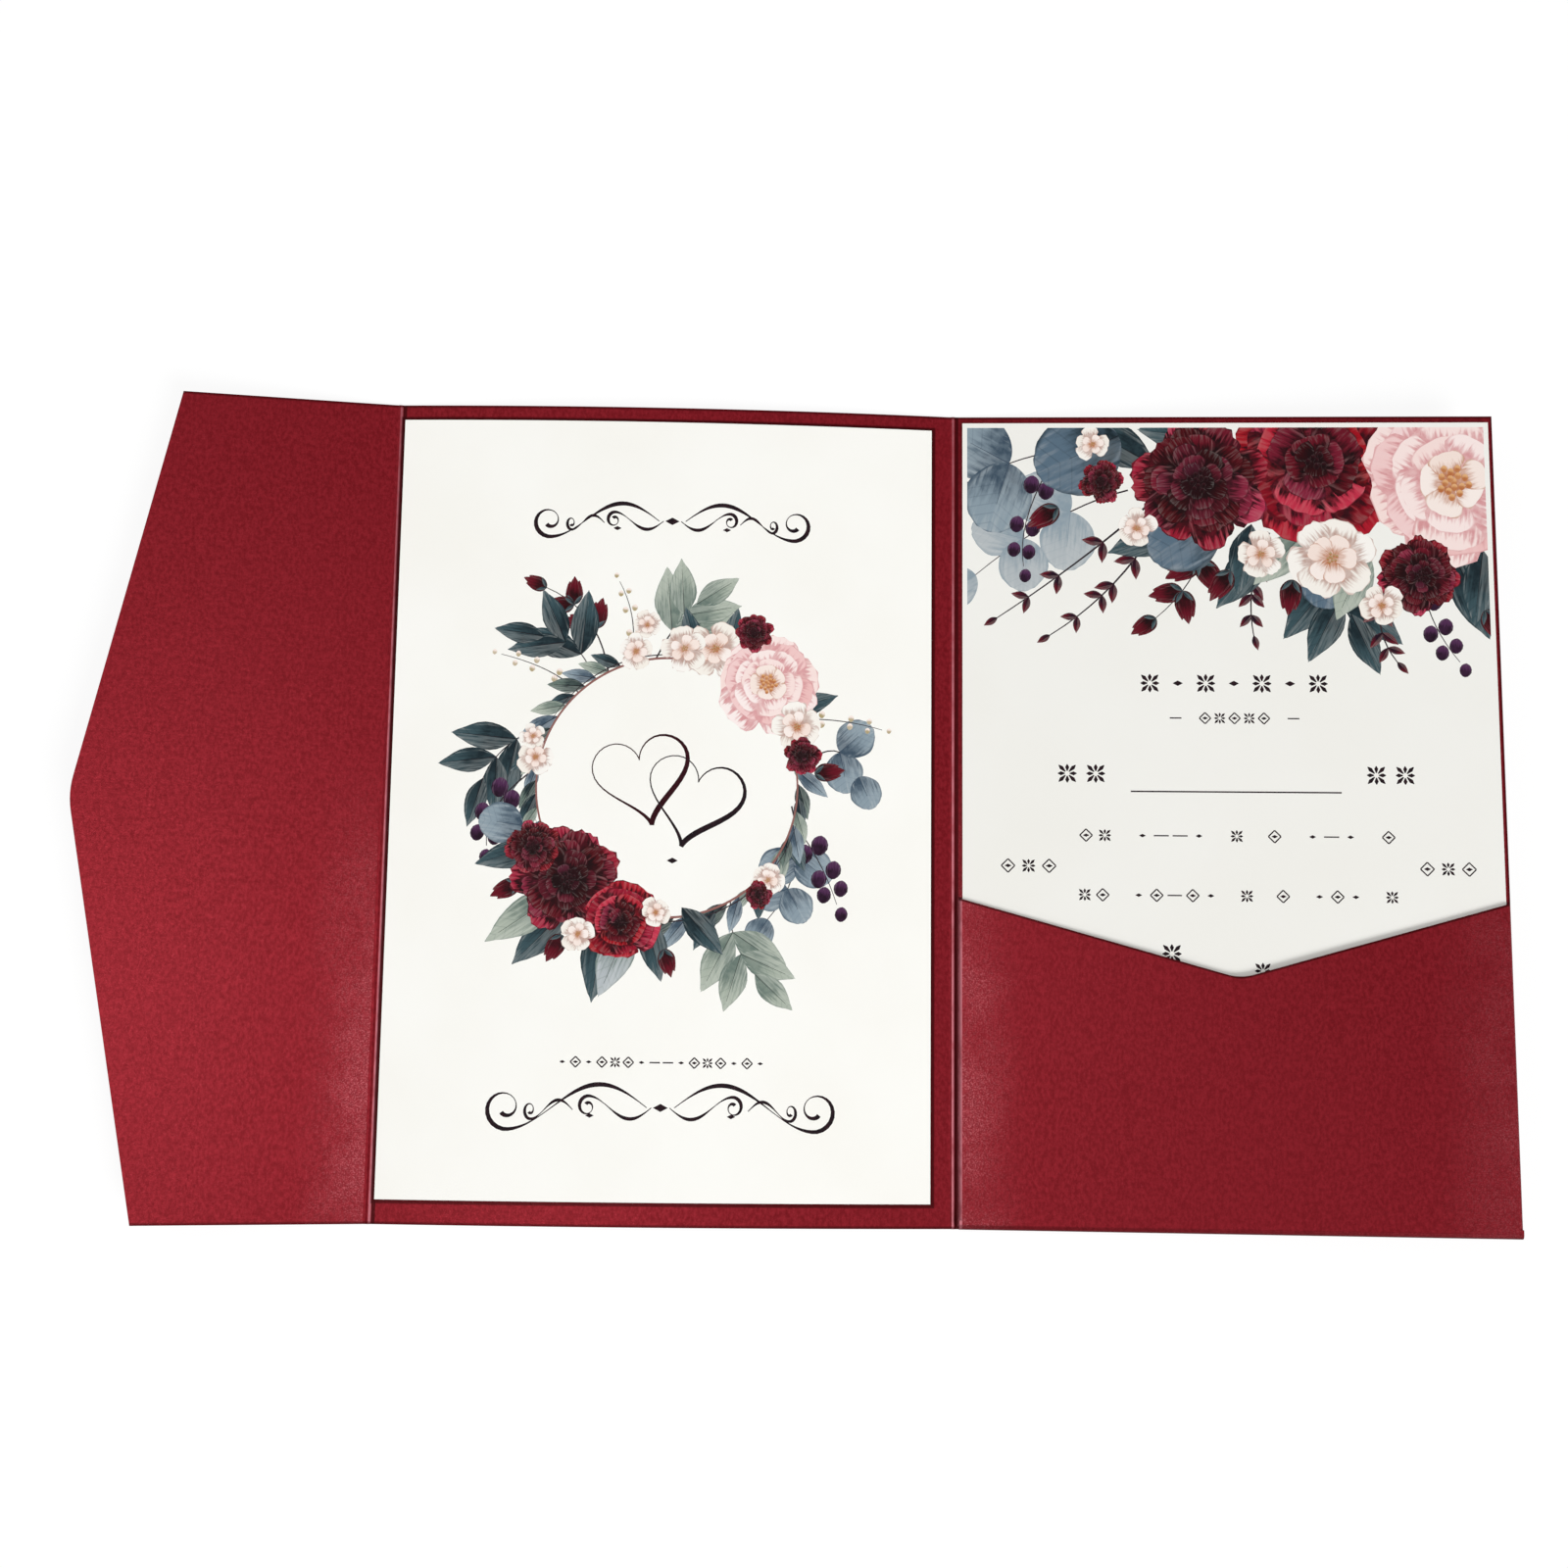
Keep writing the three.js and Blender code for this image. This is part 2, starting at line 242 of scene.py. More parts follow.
def bloom(page, x, y, radius, rings, heart, turn, ruffle):
    """An open flower: rings of petals from the outside in, then its dark or amber heart."""
    page.ruffle = ruffle
    page.variety = 0.32
    for order, (count, reach, inner, wide, form, deep, tint) in enumerate(rings):
        covered = rings[order + 1][1] if order + 1 < len(rings) else 0.12
        fade = max((covered - inner) / (reach - inner) - 0.10, 0.1)
        for i in range(count):
            angle = turn + 360 * i / count + page.dice.uniform(-15, 15)
            start = turned(x, y, angle, radius * (inner + page.dice.uniform(-0.03, 0.03)))
            length = page.around(radius * (reach - inner), 0.09)
            width = page.around(radius * wide, 0.16)
            page.shape(*start, angle, length, width, form, deep, tint, 14 if radius > 5 else 9, fade)
        turn += 180 / count + 11
    page.ruffle = 0.02
    page.variety = 0.0
    deep, tint, dots = heart
    for i in range(dots):
        away = turned(x, y, i * 137.5, radius * 0.046 * math.sqrt(i))
        berry(page, *away, radius * 0.085, deep, tint)


def dark_bloom(page, x, y, radius, turn):
    rings = [
        (8, 1.0, 0.10, 0.66, PETAL_FORM, WINE_BLACK, CRIMSON),
        (8, 0.88, 0.08, 0.60, PETAL_FORM, WINE_BLACK, WINE),
        (8, 0.74, 0.05, 0.50, CUPPED_FORM, WINE_BLACK, WINE),
        (7, 0.58, 0.04, 0.42, CUPPED_FORM, WINE_BLACK, WINE_SHADE),
        (6, 0.42, 0.02, 0.32, CUPPED_FORM, WINE_BLACK, WINE_SHADE),
        (5, 0.28, 0.0, 0.24, CUPPED_FORM, WINE_BLACK, WINE_DEEP),
    ]
    bloom(page, x, y, radius, rings, (WINE_BLACK, WINE_DEEP, 12), turn, 0.10)


def red_rose(page, x, y, radius, turn):
    rings = [
        (6, 1.0, 0.05, 1.02, CUPPED_FORM, WINE_DEEP, SCARLET),
        (5, 0.84, 0.03, 0.98, CUPPED_FORM, WINE_DEEP, CRIMSON),
        (5, 0.66, 0.02, 0.80, CUPPED_FORM, WINE_BLACK, SCARLET),
        (4, 0.52, 0.0, 0.62, CUPPED_FORM, WINE_BLACK, WINE),
        (4, 0.36, 0.0, 0.44, CUPPED_FORM, WINE_BLACK, WINE),
        (3, 0.22, 0.0, 0.30, CUPPED_FORM, WINE_BLACK, WINE_SHADE),
    ]
    bloom(page, x, y, radius, rings, (WINE_BLACK, WINE_DEEP, 6), turn, 0.08)


def blush_rose(page, x, y, radius, turn):
    rings = [
        (7, 1.0, 0.05, 0.88, CUPPED_FORM, BLUSH_DEEP, BLUSH_PALE),
        (6, 0.86, 0.04, 0.82, CUPPED_FORM, BLUSH_DEEP, BLUSH),
        (6, 0.70, 0.03, 0.70, CUPPED_FORM, BLUSH_DEEP, BLUSH_PALE),
        (5, 0.54, 0.02, 0.56, CUPPED_FORM, BLUSH_DEEP, BLUSH_PALE),
        (5, 0.36, 0.0, 0.40, CUPPED_FORM, AMBER, SHELL),
    ]
    bloom(page, x, y, radius, rings, (AMBER, HONEY, 16), turn, 0.06)


def pale_blossom(page, x, y, radius, turn, petals=5):
    rings = [
        (petals, 1.0, 0.02, 0.92, CUPPED_FORM, SHELL_DEEP, PETAL_WHITE),
        (petals, 0.60, 0.0, 0.50, CUPPED_FORM, AMBER, SHELL),
    ]
    bloom(page, x, y, radius, rings, (AMBER, OLIVE, 9), turn, 0.08)


def vine(page, x, y, ring, first, last, count, length):
    """Small leaves set out along the ring, each pair of its own kind."""
    kinds = [(TEAL_DARK, TEAL), (SAGE, SAGE_PALE), (SLATE_DARK, SLATE_PALE), (TEAL_DARK, SAGE)]
    for i in range(count):
        angle = first + (last - first) * i / (count - 1)
        side = 38 if last > first else -38
        size = page.around(length, 0.25)
        out = page.dice.choice((0.35, 0.7, 1.1))
        heading = angle + (90 - side * out if last > first else -90 - side * out)
        leaf(page, *turned(x, y, angle, ring + 0.2), heading, size, size * 0.40, *kinds[i % 4])


def arc_stroke(page, x, y, radius, first, last, widths, colour, steps):
    angles = [first + (last - first) * i / steps for i in range(steps + 1)]
    points = [turned(x, y, a, radius) for a in angles]
    low, high = widths
    swell = [low + (high - low) * math.sin(math.pi * i / steps) for i in range(steps + 1)]
    page.stroke(points, swell, colour)


def scroll(page, x, y, reach, side, rise, thick):
    """A pen flourish that runs out from x, y to one side and curls back on itself."""
    steps = 54
    straight, curled = 0.55, 0.45
    points, widths = [], []
    for i in range(steps + 1):
        share = i / steps
        if share < straight:
            run = share / straight
            px = run * reach
            py = rise * reach * 0.16 * math.sin(run * math.pi * 1.5)
        else:
            curl = (share - straight) / curled
            spin = math.radians(-90 + 400 * curl)
            size = reach * 0.15 * (1 - 0.72 * curl)
            px = reach + math.cos(spin) * size
            py = rise * (math.sin(spin) * size - reach * 0.01)
        points.append((x + side * px, y + py))
        widths.append(0.2 + thick * abs(math.sin(share * math.pi * 2.5)) ** 2)
    page.stroke(points, widths, INK)


def diamond(page, x, y, size):
    page.stroke([(x - size, y), (x, y), (x + size, y)], [0.05, size * 1.1, 0.05], INK)


def rule(page, x, y, length, width):
    page.stroke([(x - length / 2, y), (x + length / 2, y)], [width, width], INK)


def divider(page, x, y, reach):
    """Three flourishes to each side of a diamond, the long ones outermost."""
    for side in (-1, 1):
        scroll(page, x + side * 3, y, reach, side, 1.0, 0.8)
        scroll(page, x + side * 2, y, reach * 0.45, side, -1.1, 0.6)
        scroll(page, x + side * reach * 0.62, y - 0.6, reach * 0.3, side, 1.4, 0.5)
        diamond(page, x + side * reach * 0.5, y - 1.8, 0.9)
    diamond(page, x, y, 1.6)


def rosette(page, x, y, size):
    """A small star of eight pen strokes."""
    for i in range(8):
        angle = 45 * i
        long = size * (1.0 if i % 2 else 0.78)
        near, far = turned(x, y, angle, size * 0.2), turned(x, y, angle, long)
        middle = turned(x, y, angle, long * 0.68)
        page.stroke([near, middle, far], [size * 0.08, size * 0.34, size * 0.06], INK)


def lozenge(page, x, y, size):
    corners = [(x - size, y), (x, y + size), (x + size, y), (x, y - size), (x - size, y)]
    for a, b in zip(corners, corners[1:]):
        page.stroke([a, b], [0.3, 0.3], INK)
    diamond(page, x, y, size * 0.5)


def ornament_row(page, x, y, marks, gap, size):
    """A row of ornaments about x: s is a star, l a lozenge, d a dot, r a short rule, a space a gap."""
    start = x - gap * (len(marks) - 1) / 2
    for i, mark in enumerate(marks):
        at = start + gap * i
        if mark == "s":
            rosette(page, at, y, size)
        elif mark == "l":
            lozenge(page, at, y, size * 0.8)
        elif mark == "d":
            diamond(page, at, y, size * 0.42)
        elif mark == "r":
            rule(page, at, y, gap * 0.8, 0.3)


def heart(page, x, y, size, lean, colour):
    """One heart drawn with a broad pen: thick down the outer side, thin on the way up."""
    steps = 60
    points, widths = [], []
    for i in range(steps + 1):
        turn = 2 * math.pi * i / steps - 0.12
        px = 16 * math.sin(turn) ** 3 / 17
        lobes = 13 * math.cos(turn) - 5 * math.cos(2 * turn) - 2 * math.cos(3 * turn)
        py = (lobes - math.cos(4 * turn)) / 17
        cos, sin = math.cos(math.radians(lean)), math.sin(math.radians(lean))
        points.append((x + size * (px * cos - py * sin), y + size * (px * sin + py * cos)))
        widths.append(0.26 + 1.3 * max(math.sin(turn * 0.5) * math.cos(turn * 0.5 - 0.9), 0) ** 2)
    page.stroke(points, widths, colour)


def wreath(page, x, y, ring):
    """A ring with clusters of flowers: dark blooms low on the left, a blush rose high on the right."""
    eucalyptus = lambda a, b, angle, size: round_leaf(page, a, b, angle, 9.5 * size)
    dark_leaf = lambda a, b, angle, size: leaf(page, a, b, angle, 15 * size, 6.4 * size)
    sage_leaf = lambda a, b, angle, size: leaf(page, a, b, angle, 15 * size, 7 * size, SAGE, SAGE_PALE)
    plum_berry = lambda a, b, angle, size: berry(page, *turned(a, b, angle, 2.4), 4.6 * size)
    wine_bud = lambda a, b, angle, size: bud(page, a, b, angle, 7.5 * size)
    fine_bud = lambda a, b, angle, size: berry(page, *turned(a, b, angle, 1.6), 1.7 * size, OLIVE, SHELL)

    def at(angle, away=0.0):
        return turned(x, y, angle, ring + away)

    sprig(page, at(352, -1), at(330, 8), at(308, 8), 3, eucalyptus, 55)
    sprig(page, at(8, 0), at(20, 12), at(4, 14), 2, eucalyptus, 60)
    sprig(page, at(150, 0), at(165, 10), at(178, 12), 3, dark_leaf, 38)
    sprig(page, at(172, 0), at(186, 12), at(199, 13), 4, plum_berry, 62)
    sprig(page, at(118, 0), at(112, 14), at(122, 24), 3, wine_bud, 50)
    sprig(page, at(126, 0), at(120, 9), at(130, 15), 3, dark_leaf, 40, 0.3)
    sprig(page, at(96, 0), at(88, 9), at(82, 13), 3, sage_leaf, 44)
    sprig(page, at(134, 0), at(134, 8), at(142, 19), 4, fine_bud, 40, 0.3)
    sprig(page, at(108, 0), at(100, 9), at(104, 19), 4, fine_bud, 40, 0.3)
    sprig(page, at(30, 2), at(24, 12), at(16, 21), 4, fine_bud, 40, 0.3)
    sprig(page, at(345, 0), at(336, 9), at(326, 17), 4, plum_berry, 55, 0.3)
    sprig(page, at(300, 0), at(292, 8), at(296, 17), 3, sage_leaf, 40, 0.3)
    vine(page, x, y, ring, 112, 196, 15, 8.5)
    vine(page, x, y, ring, 340, 268, 13, 9.0)
    vine(page, x, y, ring, 20, -22, 8, 8.0)
    arc_stroke(page, x, y, ring, 0, 180, (0.40, 0.52), ROSE_GOLD, 60)
    arc_stroke(page, x, y, ring, 180, 360, (0.40, 0.52), ROSE_GOLD, 60)
    arc_stroke(page, x, y, ring + 0.9, 195, 345, (0.10, 0.32), STEM, 40)
    arc_stroke(page, x, y, ring + 0.8, 60, 150, (0.10, 0.28), STEM, 40)

    for angle, away, heading, length in (
        (206, 8, 196, 15), (246, 9, 262, 19), (262, 6, 284, 15), (278, 4, 312, 14), (232, 12, 226, 17),
    ):
        leaf(page, *at(angle, away - 6), heading, length, length * 0.42)
    leaf(page, *at(226, 4), 214, 20, 8, SAGE, SAGE_PALE)
    leaf(page, *at(256, 2), 248, 18, 8, SAGE, MIST)
    round_leaf(page, *at(196, 4), 172, 10)
    bud(page, *at(214, 10), 206, 7)
    bud(page, *at(236, 11), 240, 7)
    bud(page, *at(270, 7), 286, 6.5)
    dark_bloom(page, *at(224, 1), 12.2, 10)
    red_rose(page, *at(252, 2.5), 8.6, 30)
    dark_bloom(page, *at(205, 3.5), 6.2, 25)
    pale_blossom(page, *at(240, 9), 4.0, 12)
    pale_blossom(page, *at(266, -1), 3.4, 40)

    for angle, away, heading, length in ((66, 6, 78, 13), (34, 6, 18, 13), (78, 5, 104, 12)):
        leaf(page, *at(angle, away - 4), heading, length, length * 0.4)
    pale_blossom(page, *at(72, 4), 6.4, 5)
    pale_blossom(page, *at(84, 2.5), 5.2, 33)
    blush_rose(page, *at(47, 3.5), 11.4, 20)
    pale_blossom(page, *at(26, 3), 5.6, 20)
    dark_bloom(page, *at(62, 11), 4.4, 8)
    pale_blossom(page, *at(104, 2.4), 4.2, 15)
    pale_blossom(page, *at(98, 8), 3.2, 50)
    dark_bloom(page, *at(14, 2), 4.4, 40)
    bud(page, *at(6, 4), 8, 7)
    pale_blossom(page, *at(318, 1.5), 3.8, 0)
    dark_bloom(page, *at(311, 2.5), 3.2, 18)
    pale_blossom(page, *at(168, 1), 4.0, 9)
    pale_blossom(page, *at(160, 3), 3.0, 40)


def garland(page, width, height):
    """A hanging garland along the insert's top edge, heavier on the right."""
    eucalyptus = lambda a, b, angle, size: round_leaf(page, a, b, angle, 17 * size)
    misty = lambda a, b, angle, size: round_leaf(page, a, b, angle, 14 * size, SLATE_PALE, MIST)
    dark_leaf = lambda a, b, angle, size: leaf(page, a, b, angle, 20 * size, 8.5 * size)
    wine_bud = lambda a, b, angle, size: bud(page, a, b, angle, 9 * size)
    dark_bud = lambda a, b, angle, size: leaf(page, a, b, angle, 5 * size, 2.2 * size, PLUM_DARK, WINE)
    plum_berry = lambda a, b, angle, size: berry(page, *turned(a, b, angle, 2.2), 4.4 * size)

    top = height
    sprig(page, (38, top - 16), (22, top - 20), (3, top - 36), 3, misty, 55)
    sprig(page, (30, top - 6), (14, top - 6), (-2, top - 16), 2, eucalyptus, 52)
    sprig(page, (46, top - 22), (36, top - 40), (20, top - 50), 5, dark_bud, 42, 0.55)
    sprig(page, (42, top - 20), (26, top - 34), (8, top - 46), 4, dark_bud, 40, 0.55)
    sprig(page, (56, top - 22), (56, top - 36), (44, top - 46), 3, wine_bud, 46, 0.4)
    sprig(page, (104, top - 34), (104, top - 46), (112, top - 56), 4, plum_berry, 58, 0.35)
    sprig(page, (86, top - 28), (84, top - 38), (88, top - 45), 3, dark_leaf, 40)
    sprig(page, (70, top - 26), (64, top - 38), (66, top - 50), 5, dark_bud, 44, 0.55)
    sprig(page, (96, top - 38), (92, top - 48), (98, top - 56), 4, dark_bud, 44, 0.55)
    sprig(page, (24, top - 4), (12, top - 22), (14, top - 34), 4, plum_berry, 55, 0.35)

    for x, y, heading, length in (
        (44, 10, 150, 22), (52, 24, 200, 20), (70, 28, 232, 20), (112, 32, 290, 20), (58, 4, 172, 18),
        (66, 24, 258, 17), (118, 30, 262, 18), (102, 34, 236, 16),
    ):
        leaf(page, x, top - y, heading, length, length * 0.44)
    round_leaf(page, 58, top - 22, 214, 18, TEAL_DARK, SLATE)
    round_leaf(page, 84, top - 28, 262, 16, TEAL_DARK, SLATE)
    round_leaf(page, 36, top - 3, 206, 21, TEAL_DARK, SLATE)
    leaf(page, 92, top - 30, 246, 18, 9, SAGE, SAGE_PALE)
    leaf(page, 78, top - 26, 226, 17, 8, SAGE, SAGE_PALE)
    red_rose(page, 81, top - 9, 20, 12)
    blush_rose(page, 112, top - 14, 21, 8)
    dark_bloom(page, 54, top - 14, 15.5, 20)
    pale_blossom(page, 84, top - 32, 9.5, 12, 6)
    dark_bloom(page, 104, top - 36, 9.5, 6)
    pale_blossom(page, 68, top - 31, 5.4, 30)
    pale_blossom(page, 95, top - 43, 5.0, 50)
    pale_blossom(page, 40, top - 25, 4.6, 10)
    dark_bloom(page, 32, top - 14, 5.2, 0)
    pale_blossom(page, 30, top - 5, 4.0, 24)
    for x, y, heading in ((61, 35, 236), (75, 37, 262), (118, 44, 300), (22, 20, 214)):
        bud(page, x, top - y, heading, 8.5)


def main_card_page(width, height):
    page = Page(width, height, 0.2, 11)
    centre_x = width / 2 + 1.2
    centre_y = 91.4
    wreath(page, centre_x, centre_y, 29.3)
    heart(page, centre_x - 5.6, centre_y + 2.6, 11.5, 12, WINE_DEEP)
    heart(page, centre_x + 6.2, centre_y - 2.2, 11.5, -14, INK)
    diamond(page, centre_x + 1.5, centre_y - 16.6, 1.2)
    divider(page, centre_x, 152.5, 25)
    ornament_row(page, centre_x, 30.2, "dldlsldrrdlsldld", 2.9, 1.45)
    divider(page, centre_x, 20.4, 31)
    return page


def insert_page(width, height):
    page = Page(width, height, 1.1, 5)
    garland(page, width, height)
    middle = width * 0.51
    ornament_row(page, middle, 121.4, "s d s d s d s", 3.15, 2.7)
    ornament_row(page, middle, 113.4, "r lslsl r", 3.3, 1.6)
    for side in (-1, 1):
        ornament_row(page, middle + side * 34.5, 100.6, "s s", 3.2, 2.7)
        ornament_row(page, middle + side * 46.5, 79.6, "lsl", 4.6, 1.9)
    rule(page, middle, 96.6, 47, 0.34)
    ornament_row(page, middle, 86.6, "ls drrd s l drd l", 4.2, 1.75)
    ornament_row(page, middle, 73.2, "sl dlrld s l dld s", 4.0, 1.75)
    rosette(page, 46.5, 60.2, 2.7)
    rosette(page, 66.5, 56.6, 2.3)
    return page


def values_of(mesh, name, kind, domain, field, values):
    layer = mesh.attributes.new(name, kind, domain)
    layer.data.foreach_set(field, values)


def topmost(page, spots, cell, own):
    """The last field that was printed on a triangle, or None for bare card."""
    middle = sum((spots[v] for v in cell), Vector((0, 0))) / len(cell)
    if 1 not in own:
        return None
    for index in sorted(own, reverse=True):
        if index < 2:
            return None
        outline = page.fields[index - 2]["outline"]
        xs, ys = [p.x for p in outline], [p.y for p in outline]
        if min(xs) <= middle.x <= max(xs) and min(ys) <= middle.y <= max(ys):
            return page.fields[index - 2]


def cut_page(page):
    """The page as flat triangles cut along every outline, each with the field that is printed on it."""
    points, faces = [], []

    def add_face(outline):
        first = len(points)
        points.extend(outline)
        faces.append(list(range(first, len(points))))

    corners = [(0, 0), (page.width, 0), (page.width, page.height), (0, page.height)]
    add_face([Vector(c) for c in corners])
    inner = page.border
    add_face([Vector((inner if x == 0 else x - inner, inner if y == 0 else y - inner)) for x, y in corners])
    for field in page.fields:
        add_face(field["outline"])
    folds = []
    bends = int(page.width / BEND_EVERY)
    for i in range(1, bends):
        x = page.width * i / bends
        folds.append((len(points), len(points) + 1))
        points.extend([Vector((x, 0)), Vector((x, page.height))])
    spots, _, cells, _, _, sources = delaunay_2d_cdt(points, folds, faces, 0, MERGE_WITHIN)
    kept = [(cell, topmost(page, spots, cell, own)) for cell, own in zip(cells, sources) if 0 in own]
    return spots, kept


def rim_of(triangles):
    """The corners round the free edge of a sheet of triangles, in order."""
    edges = dict.fromkeys((a, b) for t in triangles for a, b in zip(t, t[1:] + t[:1]))
    following = {a: b for a, b in edges if (b, a) not in edges}
    loop = [next(iter(following))]
    while following[loop[-1]] != loop[0]:
        loop.append(following[loop[-1]])
    return loop


def closed_sheet(page, spots, kept, place):
    """The cut page as the upper face of a closed sheet, then its walls and its plain back."""
    used = sorted({v for cell, _ in kept for v in cell})
    order = {v: i for i, v in enumerate(used)}
    vertices = [place(spots[v].x, spots[v].y, 0) for v in used]
    triangles = [[order[v] for v in cell] for cell, _ in kept]
    loop = rim_of(triangles)

    under = {v: len(vertices) + i for i, v in enumerate(loop)}
    vertices.extend(place(spots[used[v]].x, spots[used[v]].y, 1) for v in loop)
    walls = [[b, a, under[a], under[b]] for a, b in zip(loop, loop[1:] + loop[:1])]
    flat = [spots[used[v]] for v in loop]
    low = {round(p.x, 3): i for i, p in enumerate(flat) if p.y < ON_EDGE}
    high = {round(p.x, 3): i for i, p in enumerate(flat) if p.y > page.height - ON_EDGE}
    cross = [(low[x], high[x]) for x in low if x in high and 0.01 < x < page.width - 0.01]
    outline = [list(range(len(flat)))]
    _, _, back, origins, _, _ = delaunay_2d_cdt(flat, cross, outline, 1, MERGE_WITHIN)
    reverse = [[under[loop[origins[v][0]]] for v in reversed(cell)] for cell in back]
    return vertices, triangles + walls + reverse


def print_on(mesh, spots, kept):
    """Gives each corner its place on its field, and the field's colours, form, batch and fade."""
    uv, deep, tint, form, batch, fade, slots = [], [], [], [], [], [], []
    for cell, field in kept:
        slots.append(0 if field is None else (2 if field["ink"] else 1))
        for v in cell:
            if field is None:
                uv.extend((0.0, 0.0))
                deep.extend(WHITE)
                tint.extend(WHITE)
                form.extend(BERRY_FORM)
                batch.append(0.0)
                fade.append(0.0)
                continue
            away = spots[v] - field["start"]
            uv.extend((away.dot(field["along"]), away.dot(field["across"])))
            deep.extend((*field["deep"], 1.0))
            tint.extend((*field["tint"], 1.0))
            form.extend(field["form"])
            batch.append(field["batch"])
            fade.append(field["fade"])
    rest = len(mesh.loops) - len(batch)
    slots.extend([0] * (len(mesh.polygons) - len(slots)))
    mesh.uv_layers.new(name="wash").uv.foreach_set("vector", uv + [0.0] * rest * 2)
    values_of(mesh, "deep", "FLOAT_COLOR", "CORNER", "color", deep + [1.0] * rest * 4)
    values_of(mesh, "tint", "FLOAT_COLOR", "CORNER", "color", tint + [1.0] * rest * 4)
    values_of(mesh, "form", "FLOAT_VECTOR", "CORNER", "vector", form + [1.0] * rest * 3)
    values_of(mesh, "batch", "FLOAT", "CORNER", "value", batch + [0.0] * rest)
    values_of(mesh, "fade", "FLOAT", "CORNER", "value", fade + [0.0] * rest)
    mesh.polygons.foreach_set("material_index", slots)


def printed_card(name, page, place, replaced, materials):
    """A card as one closed sheet whose printed face is cut along the print's outlines. place(x, y, down)
    gives the spot in metres for a page point, down from the printed face by a share of the thickness."""
    spots, kept = cut_page(page)
    vertices, faces = closed_sheet(page, spots, kept, place)
    mesh = bpy.data.meshes.new(name)
    mesh.from_pydata(vertices, [], faces)
    for material in materials:
        mesh.materials.append(material)
    print_on(mesh, spots, kept)
    mesh.update()
    piece = bpy.data.objects.new(name, mesh)
    bpy.context.scene.collection.objects.link(piece)
    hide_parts(replaced)
    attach(piece, "root")
    return piece


class Finish:
    """A material under construction: each call adds one node, joined to what it is given."""

    def __init__(self, name):
        self.material = bpy.data.materials.new(name)
        self.material.use_nodes = True
        self.tree = self.material.node_tree
        self.shader = self.tree.nodes["Principled BSDF"]
        self.place = self.node("ShaderNodeTexCoord").outputs["Object"]

    def node(self, kind, **settings):
        made = self.tree.nodes.new(kind)
        for key, value in settings.items():
            setattr(made, key, value)
        return made

    def join(self, value, socket):
        if isinstance(value, bpy.types.NodeSocket):
            self.tree.links.new(value, socket)
        elif value is not None:
            socket.default_value = value

    def math(self, operation, a, b=None, c=None):
        made = self.node("ShaderNodeMath", operation=operation)
        for value, socket in zip((a, b, c), made.inputs):
            self.join(value, socket)
        return made.outputs[0]

    def ramp(self, value, low, high, to_low=0.0, to_high=1.0):
        made = self.node("ShaderNodeMapRange", interpolation_type="SMOOTHSTEP")
        for number, socket in zip((value, low, high, to_low, to_high), made.inputs):
            self.join(number, socket)
        return made.outputs[0]

    def mix(self, share, a, b, blend="MIX"):
        made = self.node("ShaderNodeMix", data_type="RGBA", blend_type=blend)
        self.join(share, made.inputs[0])
        self.join(a, made.inputs[6])
        self.join(b, made.inputs[7])
        return made.outputs[2]

    def noise(self, scale, detail=2.0, vector=None, roughness=0.5, stretch=None):
        where = vector or self.place
        if stretch:
            mapping = self.node("ShaderNodeMapping")
            mapping.inputs["Scale"].default_value = stretch
            self.join(where, mapping.inputs["Vector"])
            where = mapping.outputs[0]
        made = self.node("ShaderNodeTexNoise")
        self.join(where, made.inputs["Vector"])
        made.inputs["Scale"].default_value = scale
        made.inputs["Detail"].default_value = detail
        made.inputs["Roughness"].default_value = roughness
        return made.outputs["Fac"]

    def band(self, value, middle, half, faded, strength):
        """A stripe about middle: full up to half a stripe away and gone at faded, all in millimetres."""
        away = self.math("ABSOLUTE", self.math("SUBTRACT", value, middle * MM))
        return self.ramp(away, half * MM, faded * MM, strength, 0.0)

    def outside(self, value, low, high):
        """How far a place lies past the nearer of two limits; negative between them."""
        away = self.math("ABSOLUTE", self.math("SUBTRACT", value, (low + high) / 2))
        return self.math("SUBTRACT", away, (high - low) / 2)

    def attribute(self, name, output="Color"):
        return self.node("ShaderNodeAttribute", attribute_name=name).outputs[output]

    def set(self, **sockets):
        for name, value in sockets.items():
            self.join(value, self.shader.inputs[name.replace("_", " ")])

    def bump(self, height, strength, distance):
        made = self.node("ShaderNodeBump")
        made.inputs["Strength"].default_value = strength
        made.inputs["Distance"].default_value = distance
        self.join(height, made.inputs["Height"])
        self.join(made.outputs[0], self.shader.inputs["Normal"])


def paper_tooth(finish, strength=0.35):
    fine = finish.noise(2600, 3, roughness=0.6)
    fibre = finish.noise(700, 2, stretch=(1.0, 3.5, 1.0))
    finish.bump(finish.math("ADD", fine, finish.math("MULTIPLY", fibre, 0.6)), strength, 0.00004)
    return fine


def card_paper(name, light, shade):
    """Uncoated card: a faint cloudiness and a fine tooth."""
    finish = Finish(name)
    cloud = finish.noise(28, 3)
    speck = paper_tooth(finish)
    colour = finish.mix(finish.ramp(cloud, 0.3, 0.75), light, shade)
    colour = finish.mix(finish.ramp(speck, 0.62, 0.8, 0.0, 0.18), colour, shade)
    finish.set(Base_Color=colour, Roughness=0.72)
    finish.shader.inputs["Specular IOR Level"].default_value = 0.25
    return finish.material


